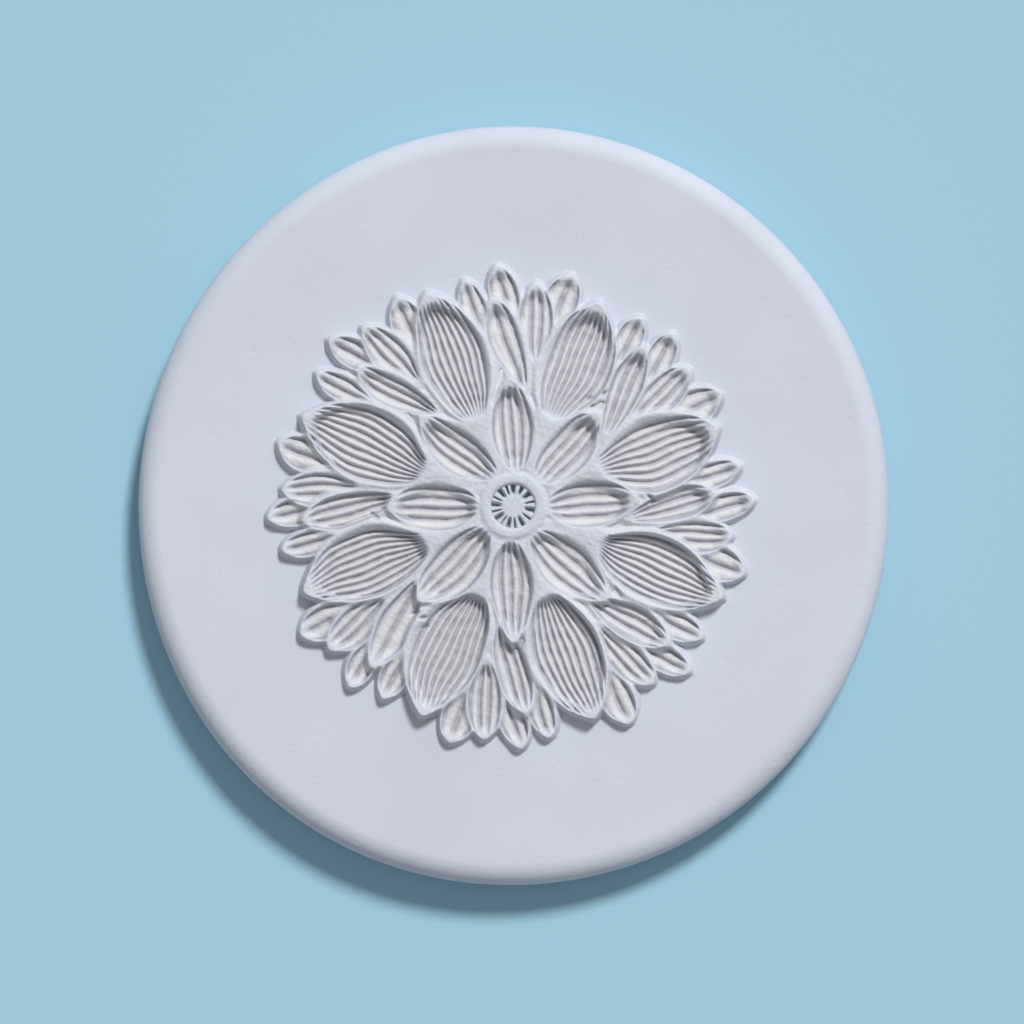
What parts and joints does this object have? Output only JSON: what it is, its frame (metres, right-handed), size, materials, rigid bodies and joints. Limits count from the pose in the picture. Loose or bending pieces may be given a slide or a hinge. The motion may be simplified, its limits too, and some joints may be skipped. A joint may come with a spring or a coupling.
{
  "type": "clay stamp",
  "caption": "Round clay stamp lying on its flat back, face up, with a raised layered flower of ribbed petals and leaves round a small ring and star",
  "frame": {"origin": "middle of the flat back, which rests on the surface", "axes": "+Z out of the face, towards the flower; +X right and +Y up as the flower is read from above"},
  "size_m": [0.0796, 0.0808, 0.0083],
  "materials": {
    "slab_clay": "matte",
    "sprig_clay": "matte"
  },
  "bodies": {
    "root": {"broad_leaf_1": "sprig_clay", "broad_leaf_2": "sprig_clay", "broad_leaf_3": "sprig_clay", "broad_leaf_4": "sprig_clay", "broad_leaf_5": "sprig_clay", "broad_leaf_6": "sprig_clay", "broad_leaf_7": "sprig_clay", "broad_leaf_8": "sprig_clay", "centre_ring": "sprig_clay", "centre_star": "sprig_clay", "crown_leaf_1": "sprig_clay", "crown_leaf_2": "sprig_clay", "crown_leaf_3": "sprig_clay", "crown_leaf_4": "sprig_clay", "crown_leaf_5": "sprig_clay", "crown_leaf_6": "sprig_clay", "crown_leaf_7": "sprig_clay", "crown_leaf_8": "sprig_clay", "inner_petal_1": "sprig_clay", "inner_petal_2": "sprig_clay", "inner_petal_3": "sprig_clay", "inner_petal_4": "sprig_clay", "inner_petal_5": "sprig_clay", "inner_petal_6": "sprig_clay", "inner_petal_7": "sprig_clay", "inner_petal_8": "sprig_clay", "large_petal_1": "sprig_clay", "large_petal_2": "sprig_clay", "large_petal_3": "sprig_clay", "large_petal_4": "sprig_clay", "large_petal_5": "sprig_clay", "large_petal_6": "sprig_clay", "large_petal_7": "sprig_clay", "large_petal_8": "sprig_clay", "long_leaf_1": "sprig_clay", "long_leaf_2": "sprig_clay", "long_leaf_3": "sprig_clay", "long_leaf_4": "sprig_clay", "long_leaf_5": "sprig_clay", "long_leaf_6": "sprig_clay", "long_leaf_7": "sprig_clay", "long_leaf_8": "sprig_clay", "middle_petal_1": "sprig_clay", "middle_petal_2": "sprig_clay", "middle_petal_3": "sprig_clay", "middle_petal_4": "sprig_clay", "middle_petal_5": "sprig_clay", "middle_petal_6": "sprig_clay", "middle_petal_7": "sprig_clay", "middle_petal_8": "sprig_clay", "side_leaf_1": "sprig_clay", "side_leaf_2": "sprig_clay", "side_leaf_3": "sprig_clay", "side_leaf_4": "sprig_clay", "side_leaf_5": "sprig_clay", "side_leaf_6": "sprig_clay", "side_leaf_7": "sprig_clay", "side_leaf_8": "sprig_clay", "slab": "slab_clay"}
  },
  "joints": []
}
